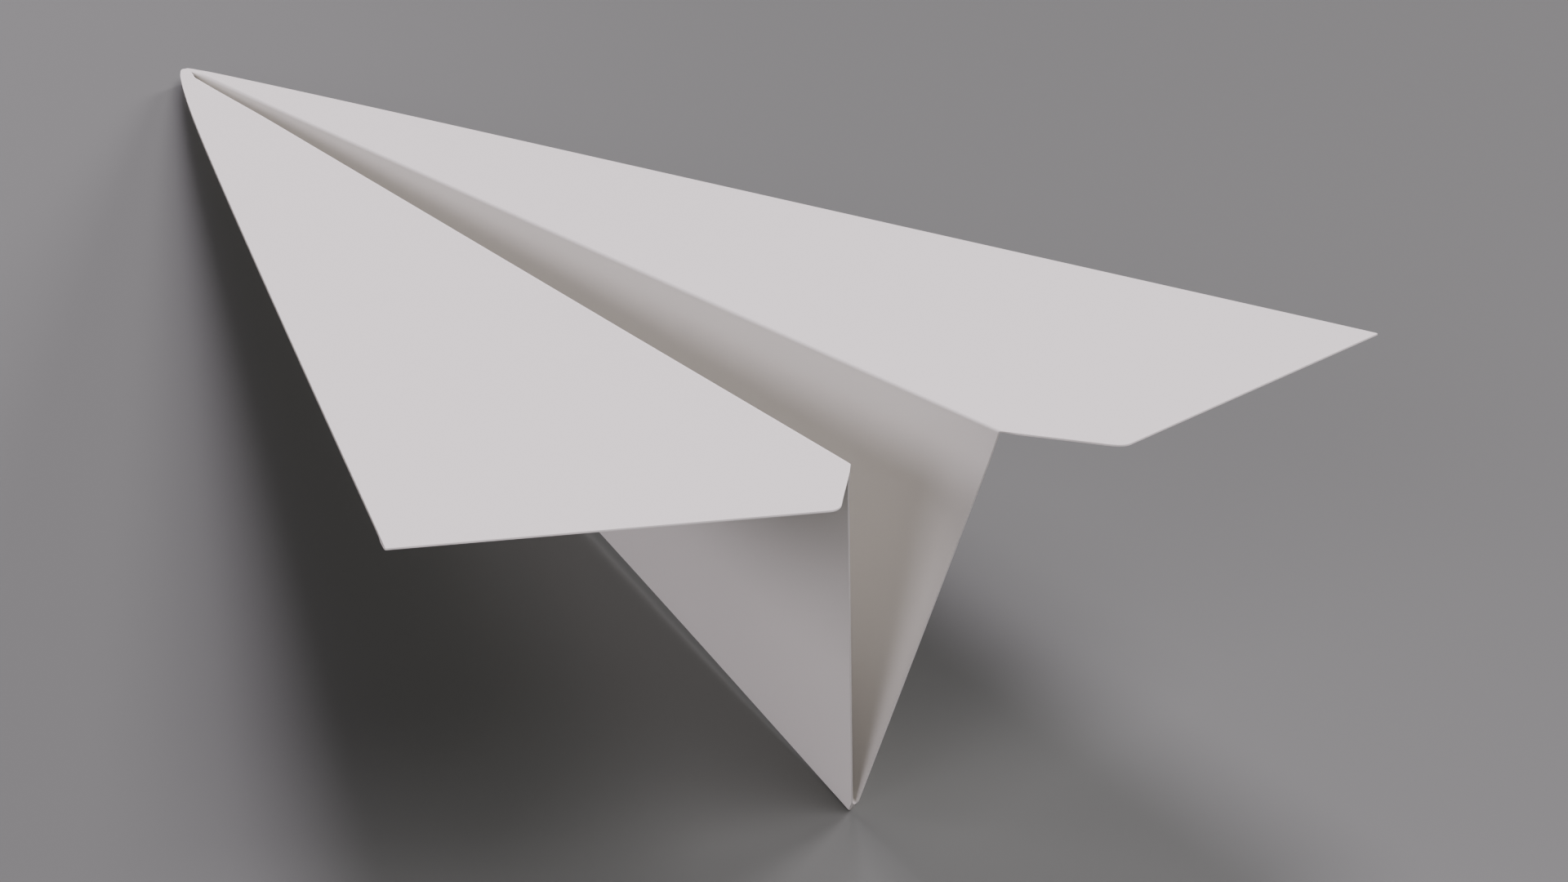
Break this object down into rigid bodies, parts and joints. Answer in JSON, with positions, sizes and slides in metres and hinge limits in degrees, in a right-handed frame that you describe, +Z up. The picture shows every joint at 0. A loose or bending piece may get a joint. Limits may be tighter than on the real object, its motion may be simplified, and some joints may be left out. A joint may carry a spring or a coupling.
{
  "type": "paper airplane",
  "caption": "Folded paper dart with a V keel, creased wings that fold up and down, and corner flaps layered under the leading edges.",
  "frame": {"origin": "under the middle of the bounding box, on the surface that the keel rests on", "axes": "+Y towards the nose, +Z up, +X to the right wing; the keel crease lies along Y"},
  "size_m": [0.1188, 0.2702, 0.0582],
  "materials": {
    "paper_face": "matte uncoated",
    "flap_layer": "matte uncoated",
    "hidden_layer": "matte uncoated",
    "fold_edge": "matte, fibres pressed by the fold",
    "crease": "matte, fibres raised by the crease"
  },
  "bodies": {
    "left_keel_side": {"left_keel_wall": "paper_face", "left_keel_inner_corner": "hidden_layer", "left_keel_outer_corner": "hidden_layer", "left_keel_flap": "flap_layer", "left_corner_fold": "fold_edge", "keel_crease": "crease"},
    "right_keel_side": {"right_keel_wall": "paper_face", "right_keel_inner_corner": "hidden_layer", "right_keel_outer_corner": "hidden_layer", "right_keel_flap": "flap_layer", "right_corner_fold": "fold_edge"},
    "left_wing_side": {"left_wing": "paper_face", "left_wing_inner_corner": "hidden_layer", "left_wing_outer_corner": "hidden_layer", "left_wing_flap": "flap_layer", "left_leading_edge_fold": "fold_edge", "left_inner_edge_fold": "fold_edge", "left_wing_crease": "crease"},
    "right_wing_side": {"right_wing": "paper_face", "right_wing_inner_corner": "hidden_layer", "right_wing_outer_corner": "hidden_layer", "right_wing_flap": "flap_layer", "right_leading_edge_fold": "fold_edge", "right_inner_edge_fold": "fold_edge", "right_wing_crease": "crease"}
  },
  "joints": [
    {"name": "keel_fold", "type": "hinge", "parent": "left_keel_side", "child": "right_keel_side", "pos_m": [0, 0, 0.00025], "axis": [0, 1, 0], "range_deg": [-17.6, 160]},
    {"name": "left_wing_fold", "type": "hinge", "parent": "left_keel_side", "child": "left_wing_side", "pos_m": [-0.00111, 0.14571, -0.00103], "axis": [0.033, 0.9789, -0.2018], "range_deg": [-97, 80]},
    {"name": "right_wing_fold", "type": "hinge", "parent": "right_keel_side", "child": "right_wing_side", "pos_m": [0.00111, 0.14571, -0.00103], "axis": [0.033, -0.9789, 0.2018], "range_deg": [-97, 80]}
  ]
}
